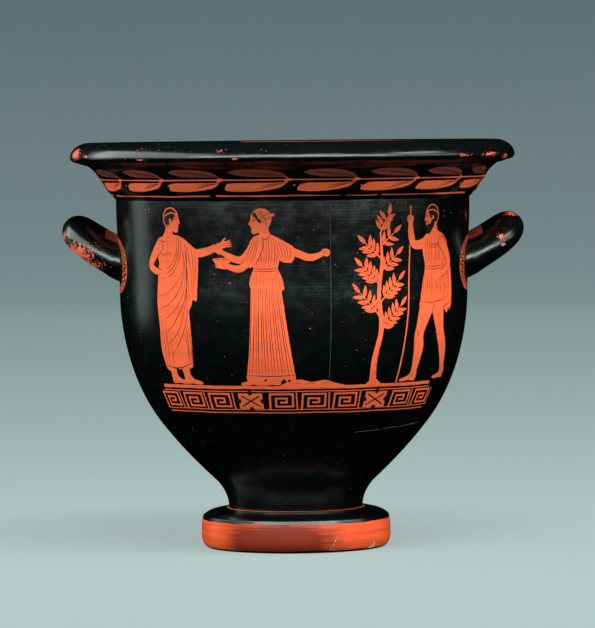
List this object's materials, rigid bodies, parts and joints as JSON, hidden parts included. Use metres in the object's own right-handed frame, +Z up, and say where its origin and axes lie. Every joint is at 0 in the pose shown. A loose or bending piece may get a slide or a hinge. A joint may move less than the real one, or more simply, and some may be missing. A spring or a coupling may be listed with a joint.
{
  "type": "greek krater",
  "caption": "Wide-mouthed fired clay mixing bowl with a ring foot, a flared rim and upturned side handles, in black gloss with painted orange figures.",
  "frame": {"origin": "centre of the foot's resting plane, on the pot's own axis", "axes": "+Z up along the axis of turning, the handles along X and turned 8 degrees towards the back, the painted front towards -Y"},
  "size_m": [0.397, 0.3804, 0.3475],
  "materials": {
    "fired_clay": "black gloss slip with reserved orange clay, worn and chipped"
  },
  "bodies": {
    "root": {"krater": "fired_clay"}
  },
  "joints": []
}
